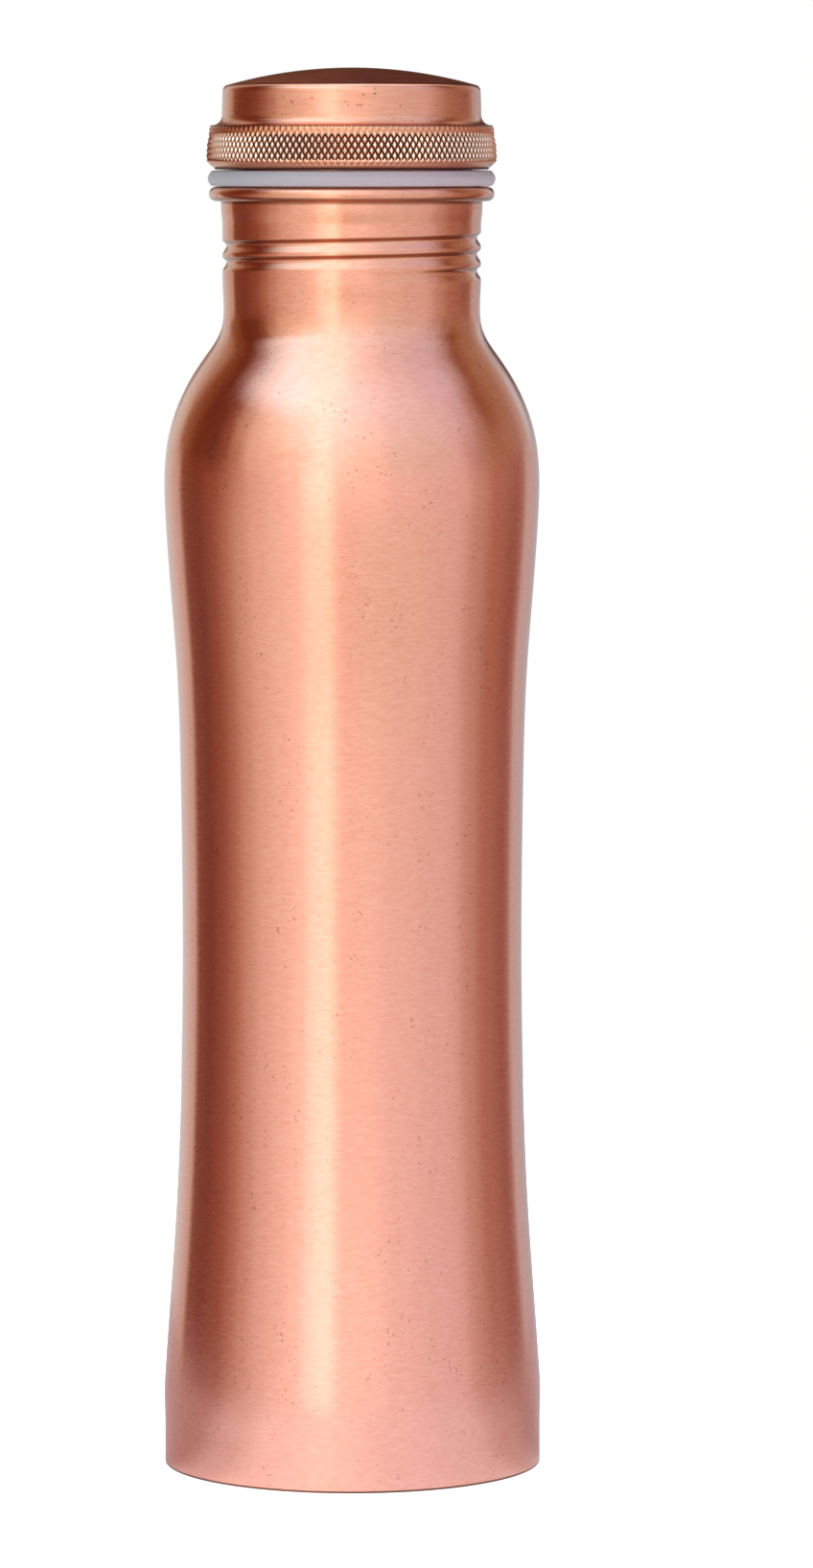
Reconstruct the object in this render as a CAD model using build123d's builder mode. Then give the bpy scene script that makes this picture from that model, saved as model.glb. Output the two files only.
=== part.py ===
from build123d import *
import os
from math import asin, cos, degrees, hypot, pi, radians, sin, sqrt

# ---------------------------------------------------------------------------
# Copper water bottle. A waisted spun shell with a curled rim, a rolled thread
# and a brazed base disc, closed by a screw cap on a silicone gasket. The cap is
# a domed crown, a grip ring and a threaded plug, brazed together.
# Millimetres. +Z up, origin at the centre of the foot, on the standing plane.
# ---------------------------------------------------------------------------

# --- driving dimensions ----------------------------------------------------
wall = 0.5                  # copper sheet of the shell
foot_r = 37.42              # outside radius of the foot band
foot_band_h = 9.0           # height of the straight foot band
foot_edge = 0.2             # broken edge on the standing rim

neck_r = 25.50              # outside radius of the neck in the thread zone
curl_z = 252.40             # height of the curled rim's centre
curl_c = 26.72              # radius of the circle that its centre runs on
curl_out = 1.43             # outside radius of the curl's section
curl_in = curl_out - wall   # inside radius of the curl's section
curl_end = -122.0           # where the sheet's edge stops, degrees round the curl

pitch = 3.25                # thread pitch: right hand, single start
neck_thread_z = 237.40      # height of the neck's thread at +X on its first full turn
thread_depth = 0.78         # how deep the thread is rolled into the neck

plug_r = 23.85              # outside radius of the plug's plain wall
plug_wall = 0.55
plug_low = 238.20           # lower edge of the plug
plug_thread = 0.90          # how far the plug's rolled thread stands proud
plug_flange_r = 24.92
plug_flange_h = 0.55

gasket_low = 253.93         # silicone gasket, between the curled rim and the grip ring
gasket_high = 257.12
gasket_r = 28.35
gasket_bore = 24.05

ring_low = 257.20           # knurled grip ring
ring_high = 265.90
ring_bore = 25.00
ring_lip_r = 23.95          # the ring's inward lip, which carries the plug's flange
ring_lip_h = 1.10

crown_top = 277.20
crown_wall = 0.60
crown_r_low = 25.56         # outside radius of the crown's wall, low and high
crown_r_high = 25.42
dome_R = 89.3               # spherical radius of the crown's dome
crown_corner = 1.35         # rounding where the dome meets the wall
crown_flare = 1.90          # radius of the flare, which ends flush with the ring's top
seat_depth = 0.56           # recess in the ring's top that takes the flare's edge
seat_gap = 0.04             # clearance round the flare's edge

base_wall = 0.60            # pressed base disc
base_low = 1.50             # lower edge of the base disc's skirt
base_plane = 5.40           # underside of the base disc next to its skirt
base_rise = 1.50            # rise of its centre panel

# outside profile of the shell above the foot band: (radius, height)
profile = [
    (37.42, 9.0), (37.56, 13.0), (37.26, 19.8), (36.43, 31.4), (35.32, 46.9),
    (34.50, 62.3), (34.00, 77.7), (33.72, 93.1), (33.64, 106.0), (33.73, 119.9),
    (33.94, 135.2), (34.30, 150.5), (34.88, 161.9), (35.78, 173.3), (36.60, 184.7),
    (37.05, 195.6), (36.42, 203.7), (34.18, 211.3), (31.31, 216.9), (28.74, 220.7),
    (26.78, 223.6), (25.80, 225.8), (25.36, 228.2),
]
neck_waist = (25.30, 230.6)


def directions(pts):
    """Unit direction of the smooth curve through pts at each of them; it runs
    straight up at both ends."""
    out = [(0.0, 1.0)]
    for (r0, z0), (r1, z1), (r2, z2) in zip(pts, pts[1:], pts[2:]):
        a, b = hypot(r1 - r0, z1 - z0), hypot(r2 - r1, z2 - z1)
        tr = (r1 - r0) / a * b + (r2 - r1) / b * a
        tz = (z1 - z0) / a * b + (z2 - z1) / b * a
        n = hypot(tr, tz)
        out.append((tr / n, tz / n))
    return out + [(0.0, 1.0)]


def splines(pts, dirs, breaks):
    """Smoothly joined splines through pts, split at the points numbered in breaks."""
    for i, j in zip(breaks, breaks[1:]):
        Spline(*pts[i:j + 1], tangents=(dirs[i], dirs[j]))


def thread_path(radius, z_at_0, a0, a1, fade_in, fade_out, fade):
    """Points of a helix about Z from a0 to a1 degrees. Its radius moves by fade over
    fade_in degrees at the start and fade_out degrees at the end, where the thread
    runs out into the wall."""
    n = int(round((a1 - a0) / 22.5))
    pts = []
    for i in range(n + 1):
        a = a0 + (a1 - a0) * i / n
        k = 0.0
        if a < a0 + fade_in:
            k = 1 - (a - a0) / fade_in
        if a > a1 - fade_out:
            k = 1 - (a1 - a) / fade_out
        r = radius + fade * k * k * (3 - 2 * k)
        t = a * pi / 180
        pts.append((r * cos(t), r * sin(t), z_at_0 + pitch * a / 360))
    return pts


def section_plane(pts, a0):
    """The plane square to a thread's path at its start: local x points away from Z."""
    t = a0 * pi / 180
    radial = Vector(cos(t), sin(t), 0)
    r = hypot(pts[0][0], pts[0][1])
    along = Vector(-sin(t), cos(t), pitch / (2 * pi * r)).normalized()
    return Plane(origin=pts[0], x_dir=radial, z_dir=along)


def on_curl(radius, angle):
    a = angle * pi / 180
    return (curl_c + radius * cos(a), curl_z + radius * sin(a))


# --- shell -----------------------------------------------------------------
outer = profile + [neck_waist]
outer_dirs = directions(outer)
inner = [(r - tz * wall, z + tr * wall) for (r, z), (tr, tz) in zip(outer, outer_dirs)]
inner.reverse()
inner_dirs = [(-tr, -tz) for tr, tz in reversed(outer_dirs)]
breaks = [0, 3, 6, 9, 12, 14, 16, 17, 18, 19, 20, 21, 23]
inner_breaks = [len(outer) - 1 - i for i in reversed(breaks)]
neck_in = neck_r - wall

with BuildPart() as shell_blank:
    with BuildSketch(Plane.XZ):
        with BuildLine():
            Line((foot_r - foot_edge, 0), (foot_r, foot_edge))
            Line((foot_r, foot_edge), profile[0])
            splines(outer, outer_dirs, breaks)
            Spline(neck_waist, (25.40, 233.0), (neck_r, 235.2), tangents=((0, 1), (0, 1)))
            Line((neck_r, 235.2), (neck_r, 246.4))
            Spline((neck_r, 246.4), (25.70, 248.4), (25.79, 250.6), on_curl(curl_in, 180),
                   tangents=((0, 1), (0, 1)))
            ThreePointArc(on_curl(curl_in, 180), on_curl(curl_in, 30), on_curl(curl_in, curl_end))
            Line(on_curl(curl_in, curl_end), on_curl(curl_out, curl_end))
            ThreePointArc(on_curl(curl_out, curl_end), on_curl(curl_out, 30), on_curl(curl_out, 180))
            Spline(on_curl(curl_out, 180), (25.29, 250.6), (25.20, 248.4), (neck_in, 246.4),
                   tangents=((0, -1), (0, -1)))
            Line((neck_in, 246.4), (neck_in, 235.2))
            Spline((neck_in, 235.2), (24.90, 233.0), (neck_waist[0] - wall, neck_waist[1]),
                   tangents=((0, -1), (0, -1)))
            splines(inner, inner_dirs, inner_breaks)
            Line(inner[-1], (foot_r - wall, 0))
            Line((foot_r - wall, 0), (foot_r - foot_edge, 0))
        make_face()
    revolve(axis=Axis.Z)

# the thread's bead inside the neck, running out into the wall at both ends
bead_pts = thread_path(neck_in, neck_thread_z, -90, 900, 90, 180, thread_depth + 0.12)
with BuildPart() as neck_bead:
    with BuildLine() as bead_line:
        Spline(*bead_pts)
    with BuildSketch(section_plane(bead_pts, -90)):
        with BuildLine():
            Polyline((-thread_depth, -0.42), (-thread_depth, 0.42), (0.0, 1.22), (0.22, 1.22),
                     (0.22, -1.22), (0.0, -1.22), close=True)
        make_face()
    sweep(path=bead_line.line, is_frenet=True)
    with BuildSketch(Plane.XY.offset(225)):
        Circle(neck_in + 0.22)
    extrude(amount=32, mode=Mode.INTERSECT)

# the matching groove rolled into the outside
groove_pts = thread_path(neck_r, neck_thread_z, -90, 900, 90, 180, thread_depth + 0.12)
with BuildPart() as neck_groove:
    with BuildLine() as groove_line:
        Spline(*groove_pts)
    with BuildSketch(section_plane(groove_pts, -90)):
        with BuildLine():
            Polyline((-thread_depth, -0.22), (-thread_depth, 0.22), (0.0, 1.05), (0.6, 1.70),
                     (0.6, -1.70), (0.0, -1.05), close=True)
        make_face()
    sweep(path=groove_line.line, is_frenet=True)

with BuildPart() as body_shell:
    add(shell_blank.part)
    add(neck_bead.part)
    add(neck_groove.part, mode=Mode.SUBTRACT)

# --- base disc and its brazed seam -----------------------------------------
skirt_r = foot_r - wall - 0.02
with BuildPart() as base_disc:
    with BuildSketch(Plane.XZ):
        with BuildLine():
            u = base_plane
            t = base_wall
            Line((skirt_r - t, base_low), (skirt_r, base_low))
            Line((skirt_r, base_low), (skirt_r, u + t - 1.2))
            RadiusArc((skirt_r, u + t - 1.2), (skirt_r - 1.2, u + t), -1.2)
            Line((skirt_r - 1.2, u + t), (31.5, u + t))
            Spline((31.5, u + t), (29.5, u + t + base_rise / 2), (27.5, u + t + base_rise),
                   tangents=((-1, 0), (-1, 0)))
            Line((27.5, u + t + base_rise), (0, u + t + base_rise))
            Line((0, u + t + base_rise), (0, u + base_rise))
            Line((0, u + base_rise), (27.8, u + base_rise))
            Spline((27.8, u + base_rise), (29.8, u + base_rise / 2), (31.8, u),
                   tangents=((1, 0), (1, 0)))
            Line((31.8, u), (skirt_r - 1.2, u))
            RadiusArc((skirt_r - 1.2, u), (skirt_r - t, u - 0.6), 0.6)
            Line((skirt_r - t, u - 0.6), (skirt_r - t, base_low))
        make_face()
    revolve(axis=Axis.Z)

with BuildPart() as base_braze_seam:
    with BuildSketch(Plane.XZ):
        with BuildLine():
            Line((skirt_r - base_wall, base_low), (foot_r - wall, base_low))
            Line((foot_r - wall, base_low), (foot_r - wall, 0.40))
            Line((foot_r - wall, 0.40), (foot_r - wall - 0.12, 0.46))
            ThreePointArc((foot_r - wall - 0.12, 0.46), (foot_r - wall - 0.22, 1.02), (skirt_r - base_wall, base_low))
        make_face()
    revolve(axis=Axis.Z)

# --- gasket ----------------------------------------------------------------
with BuildPart() as gasket:
    with BuildSketch(Plane.XZ):
        with BuildLine():
            Line((gasket_bore, gasket_low), (27.45, gasket_low))
            ThreePointArc((27.45, gasket_low), (gasket_r, 255.40), (26.95, gasket_high))
            Line((26.95, gasket_high), (gasket_bore, gasket_high))
            Line((gasket_bore, gasket_high), (gasket_bore, gasket_low))
        make_face()
    revolve(axis=Axis.Z)

# --- grip ring -------------------------------------------------------------
seat_r = crown_r_low + crown_flare + seat_gap
seat_z = ring_high - seat_depth
with BuildPart() as grip_ring:
    with BuildSketch(Plane.XZ):
        with BuildLine():
            Polyline((ring_lip_r, ring_low), (26.90, ring_low), (28.52, 258.75), (28.62, 259.40),
                     (28.46, 262.20), (28.06, 263.70), (28.02, 265.50), (27.62, ring_high),
                     (seat_r, ring_high), (seat_r, seat_z), (ring_bore, seat_z),
                     (ring_bore, ring_low + ring_lip_h),
                     (ring_lip_r, ring_low + ring_lip_h), close=True)
        make_face()
    revolve(axis=Axis.Z)

# --- threaded plug ---------------------------------------------------------
flange_z = ring_low + ring_lip_h
with BuildPart() as plug_blank:
    with BuildSketch(Plane.XZ):
        with BuildLine():
            Polyline((plug_r - plug_wall, plug_low), (plug_r - 0.2, plug_low), (plug_r, plug_low + 0.2),
                     (plug_r, flange_z), (plug_flange_r, flange_z),
                     (plug_flange_r, flange_z + plug_flange_h),
                     (plug_r - plug_wall, flange_z + plug_flange_h), close=True)
        make_face()
    revolve(axis=Axis.Z)

plug_thread_z = neck_thread_z + pitch / 2
plug_a0, plug_a1 = 45, 600
plug_pts = thread_path(plug_r, plug_thread_z, plug_a0, plug_a1, 60, 90, -plug_thread - 0.10)
with BuildPart() as plug_bead:
    with BuildLine() as plug_line:
        Spline(*plug_pts)
    with BuildSketch(section_plane(plug_pts, plug_a0)):
        with BuildLine():
            Polyline((plug_thread, -0.28), (plug_thread, 0.28), (0.0, 0.95), (-0.25, 0.95),
                     (-0.25, -0.95), (0.0, -0.95), close=True)
        make_face()
    sweep(path=plug_line.line, is_frenet=True)
    with BuildSketch(Plane.XY.offset(225)):
        Circle(plug_r - 0.25)
    extrude(amount=32, mode=Mode.SUBTRACT)

inside_pts = thread_path(plug_r - plug_wall, plug_thread_z, plug_a0, plug_a1, 60, 90, -plug_thread - 0.10)
with BuildPart() as plug_groove:
    with BuildLine() as inside_line:
        Spline(*inside_pts)
    with BuildSketch(section_plane(inside_pts, plug_a0)):
        with BuildLine():
            Polyline((0.80, -0.16), (0.80, 0.16), (0.0, 0.70), (-0.5, 1.1),
                     (-0.5, -1.1), (0.0, -0.70), close=True)
        make_face()
    sweep(path=inside_line.line, is_frenet=True)

with BuildPart() as threaded_plug:
    add(plug_blank.part)
    add(plug_bead.part)
    add(plug_groove.part, mode=Mode.SUBTRACT)

with BuildPart() as plug_braze_seam:
    with BuildSketch(Plane.XZ):
        with BuildLine():
            z = flange_z + plug_flange_h
            Line((ring_bore, z), (ring_bore, z + 0.55))
            ThreePointArc((ring_bore, z + 0.55), (ring_bore - 0.20, z + 0.20), (ring_bore - 0.60, z))
            Line((ring_bore - 0.60, z), (ring_bore, z))
        make_face()
    revolve(axis=Axis.Z)

# --- crown -----------------------------------------------------------------
flare_z = ring_high + crown_flare
flare_c = crown_r_low + crown_flare
flare_in = crown_flare + crown_wall
seat_a = degrees(asin((flare_z - seat_z) / flare_in))       # where the underside is dressed flat
dome_c = crown_top - dome_R
in_R = dome_R - crown_wall
in_r = crown_r_high - crown_wall
corner_z = dome_c + sqrt(dome_R ** 2 - crown_r_high ** 2)
in_corner_z = dome_c + sqrt(in_R ** 2 - in_r ** 2)
with BuildPart() as crown:
    with BuildSketch(Plane.XZ):
        with BuildLine():
            half = degrees(asin(crown_r_high / dome_R))
            in_half = degrees(asin(in_r / in_R))
            CenterArc((0, dome_c), dome_R, 90 - half, half)
            Line((crown_r_high, corner_z), (crown_r_low, flare_z))
            CenterArc((flare_c, flare_z), crown_flare, 180, 90)
            Polyline((flare_c, ring_high), (flare_c, seat_z),
                     (flare_c - flare_in * cos(radians(seat_a)), seat_z))
            CenterArc((flare_c, flare_z), flare_in, 180, seat_a)
            Line((flare_c - flare_in, flare_z), (in_r, in_corner_z))
            CenterArc((0, dome_c), in_R, 90 - in_half, in_half)
            Line((0, crown_top - crown_wall), (0, crown_top))
        make_face()
    revolve(axis=Axis.Z)
    fillet([e for e in crown.edges() if abs(e.center().Z - corner_z) < 0.01
            and e.geom_type == GeomType.CIRCLE], radius=crown_corner)
    fillet([e for e in crown.edges() if abs(e.center().Z - in_corner_z) < 0.01
            and e.geom_type == GeomType.CIRCLE], radius=crown_corner - crown_wall)

# filler in the wedge between the crown's flare and the ring's seat
wedge_r = 26.50
wedge_z = flare_z - sqrt(flare_in ** 2 - (flare_c - wedge_r) ** 2)
wedge_a = degrees(asin((flare_z - wedge_z) / flare_in))
wedge_in = (flare_c - flare_in * cos(radians(35)), flare_z - flare_in * sin(radians(35)))
with BuildPart() as crown_braze_seam:
    with BuildSketch(Plane.XZ):
        with BuildLine():
            Line((ring_bore + 0.1, seat_z), (wedge_r, seat_z))
            Line((wedge_r, seat_z), (wedge_r, wedge_z))
            CenterArc((flare_c, flare_z), flare_in, 180 + 35, wedge_a - 35)
            ThreePointArc(wedge_in, (ring_bore + 0.36, seat_z + 0.46), (ring_bore + 0.1, seat_z))
        make_face()
    revolve(axis=Axis.Z)

# --- files -----------------------------------------------------------------
os.makedirs("parts", exist_ok=True)
for name, piece in {
    "body_shell": body_shell, "base_disc": base_disc, "base_braze_seam": base_braze_seam,
    "gasket": gasket, "grip_ring": grip_ring, "threaded_plug": threaded_plug,
    "plug_braze_seam": plug_braze_seam, "crown": crown, "crown_braze_seam": crown_braze_seam,
}.items():
    piece.part.label = name
    export_step(piece.part, f"parts/{name}.step")
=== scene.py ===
import math
import bpy
import numpy as np
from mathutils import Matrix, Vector


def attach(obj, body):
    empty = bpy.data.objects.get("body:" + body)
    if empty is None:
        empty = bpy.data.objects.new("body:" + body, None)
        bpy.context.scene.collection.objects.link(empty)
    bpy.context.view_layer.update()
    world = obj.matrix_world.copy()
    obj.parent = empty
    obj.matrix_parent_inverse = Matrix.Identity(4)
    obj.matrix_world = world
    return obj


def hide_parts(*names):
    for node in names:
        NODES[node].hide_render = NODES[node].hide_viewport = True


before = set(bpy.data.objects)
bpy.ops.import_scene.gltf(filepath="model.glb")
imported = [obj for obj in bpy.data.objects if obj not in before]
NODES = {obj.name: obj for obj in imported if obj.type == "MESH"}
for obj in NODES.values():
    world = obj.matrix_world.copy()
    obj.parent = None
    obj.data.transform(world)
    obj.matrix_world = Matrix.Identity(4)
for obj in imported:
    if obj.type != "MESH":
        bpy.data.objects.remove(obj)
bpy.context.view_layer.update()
MM = 0.001
TAU = 2 * math.pi


# ---------------------------------------------------------------------------
# shape helpers
# ---------------------------------------------------------------------------
def spline(pts, step, start=None, end=None):
    """Twice smooth curve through pts, sampled every step millimetres or so. start and end are
    unit directions at its ends."""
    p = np.array(pts, float)
    t = np.concatenate([[0], np.cumsum(np.hypot(*np.diff(p, axis=0).T))])
    n = len(p)
    h = np.diff(t)
    m = np.zeros((n, n))
    rhs = np.zeros((n, 2))
    for i in range(1, n - 1):
        m[i, i - 1], m[i, i], m[i, i + 1] = h[i - 1], 2 * (h[i - 1] + h[i]), h[i]
        rhs[i] = 6 * ((p[i + 1] - p[i]) / h[i] - (p[i] - p[i - 1]) / h[i - 1])
    m[0, 0] = m[-1, -1] = 1
    if start is not None:
        m[0, 0], m[0, 1] = 2 * h[0], h[0]
        rhs[0] = 6 * ((p[1] - p[0]) / h[0] - np.array(start, float))
    if end is not None:
        m[-1, -1], m[-1, -2] = 2 * h[-1], h[-1]
        rhs[-1] = 6 * (np.array(end, float) - (p[-1] - p[-2]) / h[-1])
    k = np.linalg.solve(m, rhs)
    out = []
    for i in range(n - 1):
        steps = max(2, int(math.ceil(h[i] / step)))
        for s in range(steps):
            u = h[i] * s / steps
            a = (p[i + 1] - p[i]) / h[i] - h[i] * (2 * k[i] + k[i + 1]) / 6
            out.append(p[i] + a * u + k[i] * u * u / 2 + (k[i + 1] - k[i]) * u ** 3 / (6 * h[i]))
    out.append(p[-1])
    return [tuple(q) for q in out]


def run(a, b, step):
    """Points from a up to but not including b."""
    n = max(1, int(math.ceil(math.dist(a, b) / step)))
    return [(a[0] + (b[0] - a[0]) * i / n, a[1] + (b[1] - a[1]) * i / n) for i in range(n)]


def arc(c, r, a0, a1, step):
    """Points of an arc about c from a0 to a1 degrees, both ends included."""
    n = max(2, int(math.ceil(abs(a1 - a0) / 360 * TAU * r / step)))
    out = []
    for i in range(n + 1):
        a = math.radians(a0 + (a1 - a0) * i / n)
        out.append((c[0] + r * math.cos(a), c[1] + r * math.sin(a)))
    return out


def rounded(pts, radii, step):
    """A closed outline with its corners rounded. A corner of radius 0 stays."""
    out = []
    n = len(pts)
    for i in range(n):
        a, b, c = np.array(pts[i - 1], float), np.array(pts[i], float), np.array(pts[(i + 1) % n], float)
        r = radii[i]
        u, v = (a - b), (c - b)
        lu, lv = np.linalg.norm(u), np.linalg.norm(v)
        u, v = u / lu, v / lv
        ang = math.acos(max(-1, min(1, float(u @ v))))
        if r <= 0 or abs(ang - math.pi) < 1e-4:
            corner = [tuple(b)]
        else:
            d = min(r / math.tan(ang / 2), 0.49 * lu, 0.49 * lv)
            r2 = d * math.tan(ang / 2)
            p0, p1 = b + u * d, b + v * d
            mid = (u + v) / np.linalg.norm(u + v)
            cc = b + mid * (r2 / math.sin(ang / 2))
            a0 = math.atan2(*(p0 - cc)[::-1])
            a1 = math.atan2(*(p1 - cc)[::-1])
            da = (a1 - a0 + math.pi) % TAU - math.pi
            k = max(3, int(math.ceil(abs(da) * r2 / step)))
            corner = [tuple(cc + r2 * np.array([math.cos(a0 + da * s / k), math.sin(a0 + da * s / k)]))
                      for s in range(k + 1)]
        if out:
            out += run(out[-1], corner[0], step)[1:]
        out += corner
    out += run(out[-1], out[0], step)[1:]
    return out


def thin(outline, keep, longest=3.0):
    """The outline without the points inside its straight runs, but for those that keep holds on to."""
    out = [outline[0]]
    for b, c in zip(outline[1:-1], outline[2:]):
        a = out[-1]
        span = math.dist(a, c)
        off = abs((c[0] - a[0]) * (b[1] - a[1]) - (c[1] - a[1]) * (b[0] - a[0])) / max(span, 1e-9)
        if keep(b) or off > 0.0004 or span > longest:
            out.append(b)
    return out + [outline[-1]]


def lathe(name, outline, columns, closed=True, shape=None):
    """A surface of revolution from an outline of (radius, height) in millimetres. shape moves
    the whole grid of radii and heights, given (r, z, angle) arrays. Points on the axis become poles."""
    r = np.array([q[0] for q in outline])[:, None] * np.ones(columns)
    z = np.array([q[1] for q in outline])[:, None] * np.ones(columns)
    th = np.arange(columns)[None, :] * TAU / columns * np.ones((len(outline), 1))
    pole = r[:, 0] < 1e-6
    if shape:
        r, z = shape(r, z, th)
    verts, index = [], []
    for i in range(len(outline)):
        if pole[i]:
            index.append([len(verts)] * columns)
            verts.append((0, 0, float(z[i, 0]) * MM))
        else:
            index.append(list(range(len(verts), len(verts) + columns)))
            verts += zip((r[i] * np.cos(th[i]) * MM).tolist(), (r[i] * np.sin(th[i]) * MM).tolist(),
                         (z[i] * MM).tolist())
    faces = []
    rows = len(outline)
    for i in range(rows if closed else rows - 1):
        k = (i + 1) % rows
        if pole[i] and pole[k]:
            continue
        for j in range(columns):
            l = (j + 1) % columns
            quad = [index[i][j], index[i][l], index[k][l], index[k][j]]
            face = [v for n, v in enumerate(quad) if v != quad[n - 1]]
            faces.append(face)
    mesh = bpy.data.meshes.new(name)
    mesh.from_pydata(verts, [], faces)
    mesh.update()
    # outward faces have a positive volume
    co = np.array(verts)
    vol = 0.0
    for f in faces[:: max(1, len(faces) // 20000)]:
        a, b, c = co[f[0]], co[f[1]], co[f[2]]
        vol += float(a @ np.cross(b, c))
    mesh.validate()
    obj = bpy.data.objects.new(name, mesh)
    bpy.context.scene.collection.objects.link(obj)
    import bmesh
    bm = bmesh.new()
    bm.from_mesh(mesh)
    bmesh.ops.recalc_face_normals(bm, faces=bm.faces)
    bm.to_mesh(mesh)
    bm.free()
    mesh.shade_smooth()
    mesh.set_sharp_from_angle(angle=math.radians(38))
    return obj


def smooth(x):
    x = np.clip(x, 0, 1)
    return x * x * (3 - 2 * x)


# ---------------------------------------------------------------------------
# sizes, as in the solids, in millimetres
# ---------------------------------------------------------------------------
SHELL_COLUMNS = 216
WALL = 0.5
PITCH = 3.25
NECK_THREAD_Z = 237.40
THREAD_DEPTH = 0.78
CURL_Z, CURL_C, CURL_OUT = 252.40, 26.72, 1.43
CURL_IN = CURL_OUT - WALL
CURL_END = -122.0
PROFILE = [
    (37.42, 9.0), (37.54, 13.0), (37.26, 19.8), (36.43, 31.4), (35.32, 46.9),
    (34.50, 62.3), (34.00, 77.7), (33.72, 93.1), (33.64, 106.0), (33.73, 119.9),
    (33.94, 135.2), (34.30, 150.5), (34.88, 161.9), (35.78, 173.3), (36.60, 184.7),
    (37.05, 195.6), (36.42, 203.7), (34.18, 211.3), (31.31, 216.9), (28.74, 220.7),
    (26.78, 223.6), (25.80, 225.8), (25.36, 228.2), (25.30, 230.6), (25.40, 233.0), (25.50, 235.2),
]


def neck_dip(z, th, depth):
    """How deep the rolled thread is at each point of the neck."""
    out = np.zeros_like(z)
    a = np.degrees(th)
    a = np.where(a > 270, a - 360, a)
    for turn in range(0, 3):
        phi = a + 360 * turn
        amp = smooth((phi + 90) / 90) * smooth((900 - phi) / 180)
        d = z - (NECK_THREAD_Z + PITCH * phi / 360)
        d = np.where(d > 0, d / 1.0, -d / 1.85)          # steep above, long and easy below
        out += amp * depth * np.where(d < 1, 0.5 + 0.5 * np.cos(math.pi * np.clip(d, 0, 1)), 0) ** 0.85
    return out


# ---------------------------------------------------------------------------
# shell
# ---------------------------------------------------------------------------
outer = [(37.22, 0.0)] + arc((37.22, 0.2), 0.2, -60, 0, 0.06) + run((37.42, 0.5), (37.42, 8.0), 1.0)[1:]
body_line = spline([(37.42, 8.0)] + PROFILE, 2.3, (0, 1), (0, 1))
outer += body_line
neck_top = spline([(25.5, 246.4), (25.70, 248.4), (25.79, 250.6), (25.79, 252.4)], 0.40, (0, 1), (0, 1))
outer += run((25.5, 235.2), (25.5, 246.4), 0.15)[1:] + neck_top
hook = arc((CURL_C, CURL_Z), CURL_IN, 180, CURL_END, 0.16)[1:]
curl = arc((CURL_C, CURL_Z), CURL_OUT, CURL_END, 180, 0.2)
inner = []
norm = np.gradient(np.array(body_line), axis=0)
norm /= np.linalg.norm(norm, axis=1)[:, None]
for (r, z), (tr, tz) in zip(body_line, norm):
    inner.append((r - tz * WALL, z + tr * WALL))
inner_top = [(r - WALL, z) for r, z in neck_top]
inside = list(reversed(inner_top)) + list(reversed(run((25.0, 235.2), (25.0, 246.4), 0.26)[1:])) \
    + list(reversed(inner)) + [(36.92, 4.0), (36.92, 0.05)]
shell_outline = outer + hook + curl + inside[1:]


def rolled(r, z, th):
    zone = (z > 232) & (z < 248.5) & (r > 24)
    return np.where(zone, r - neck_dip(z, th, THREAD_DEPTH), r), z


shell_outline = thin(shell_outline, lambda q: 232 < q[1] < 248.6 and q[0] < 26.5)
body_shell = lathe("copper_shell", shell_outline, SHELL_COLUMNS, True, rolled)

# ---------------------------------------------------------------------------
# base disc with its spun rings, and the seam of filler round it
# ---------------------------------------------------------------------------
U, T, SKIRT = 5.40, 0.60, 36.90
under = [(SKIRT - T, 1.50)] + run((SKIRT - T, 1.51), (SKIRT - T, U - 0.6), 0.5)
under += arc((SKIRT - 1.2, U - 0.6), 0.6, 0, 90, 0.08)
under += run((SKIRT - 1.3, U), (31.8, U), 0.35)
under += spline([(31.8, U), (29.8, U + 0.75), (27.8, U + 1.5)], 0.15, (-1, 0), (-1, 0))
under += run((27.5, U + 1.5), (0.0, U + 1.5), 0.35) + [(0.0, U + 1.5)]
over = [(0.0, U + T + 1.5)] + run((0.6, U + T + 1.5), (27.4, U + T + 1.5), 0.8)
over += spline([(27.5, U + T + 1.5), (29.5, U + T + 0.75), (31.5, U + T)], 0.3, (1, 0), (1, 0))
over += run((31.9, U + T), (SKIRT - 1.3, U + T), 0.8)
over += arc((SKIRT - 1.2, U + T - 1.2), 1.2, 90, 0, 0.2)
over += run((SKIRT, U + T - 1.4), (SKIRT, 1.51), 0.6) + [(SKIRT, 1.50)]


def spun(r, z, th):
    """Fine turned rings on the underside, never below the pressed surface."""
    face = (z < U + 1.6) & (z > U - 0.01) & (r < SKIRT - 1.4) & (r > 0.3)
    ring = 0.5 + 0.5 * np.cos(r * TAU / 1.4 + 0.4 * np.sin(r * 0.7))
    return r, np.where(face, z + 0.035 * ring, z)


base_disc = lathe("copper_base_disc", under + over, 192, True, spun)


def wavy(seed, size):
    def move(r, z, th):
        w = sum(np.sin(k * th + seed * k * 1.7 + 0.9 * np.sin(3 * th + seed)) / k ** 0.5 for k in (5, 11, 17, 29))
        mid_r, mid_z = r.mean(), z.mean()
        s = 1 - size * (0.5 + 0.5 * np.clip(w / 2.2, -1, 1))
        return mid_r + (r - mid_r) * s, mid_z + (z - mid_z) * s
    return move


base_seam = lathe("braze_base", [(36.31, 1.50), (36.92, 1.50), (36.92, 0.42), (36.82, 0.50), (36.76, 0.72),
                                 (36.70, 0.98), (36.60, 1.20), (36.46, 1.38)], 240, True, wavy(1.0, 0.25))

# ---------------------------------------------------------------------------
# gasket
# ---------------------------------------------------------------------------
gasket_outline = rounded([(24.05, 253.95), (27.85, 253.95), (28.34, 255.10), (28.34, 255.80), (27.62, 256.98),
                          (24.05, 257.10)], [0.25, 0.9, 0.8, 0.8, 0.7, 0.25], 0.14)


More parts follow.
